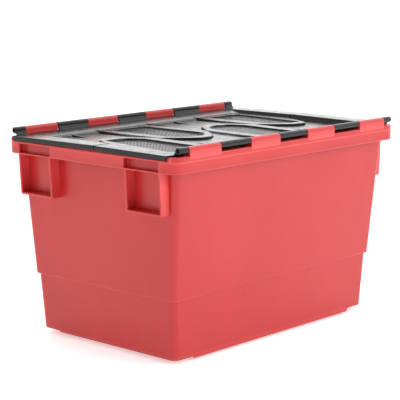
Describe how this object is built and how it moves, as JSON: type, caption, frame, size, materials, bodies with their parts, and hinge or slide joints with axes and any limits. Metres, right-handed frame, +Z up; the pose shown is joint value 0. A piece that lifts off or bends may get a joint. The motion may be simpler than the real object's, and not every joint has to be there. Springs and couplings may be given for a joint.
{
  "type": "attached lid tote",
  "caption": "Stackable plastic distribution tote with two interleaving lid halves hinged along its long sides on steel rods.",
  "frame": {"origin": "middle of the base, on the surface the tote stands on", "axes": "+X along the 600 mm length, +Y across the 400 mm width towards the far lid's hinge, +Z up"},
  "size_m": [0.6, 0.4, 0.365],
  "materials": {
    "red_plastic": "satin moulded polypropylene, red",
    "black_plastic": "glossy moulded polypropylene, black, with fine grip texture in the pockets",
    "zinc_steel": "zinc-plated drawn wire"
  },
  "bodies": {
    "body": {"tote_body": "red_plastic", "hinge_rod_far": "zinc_steel", "hinge_rod_near": "zinc_steel"},
    "lid_far": {"lid_far": "black_plastic"},
    "lid_near": {"lid_near": "black_plastic"}
  },
  "joints": [
    {"name": "lid_far_hinge", "type": "hinge", "parent": "body", "child": "lid_far", "pos_m": [0, 0.194, 0.3595], "axis": [-1, 0, 0], "range_deg": [0, 269]},
    {"name": "lid_near_hinge", "type": "hinge", "parent": "body", "child": "lid_near", "pos_m": [0, -0.194, 0.3595], "axis": [1, 0, 0], "range_deg": [0, 269]}
  ]
}
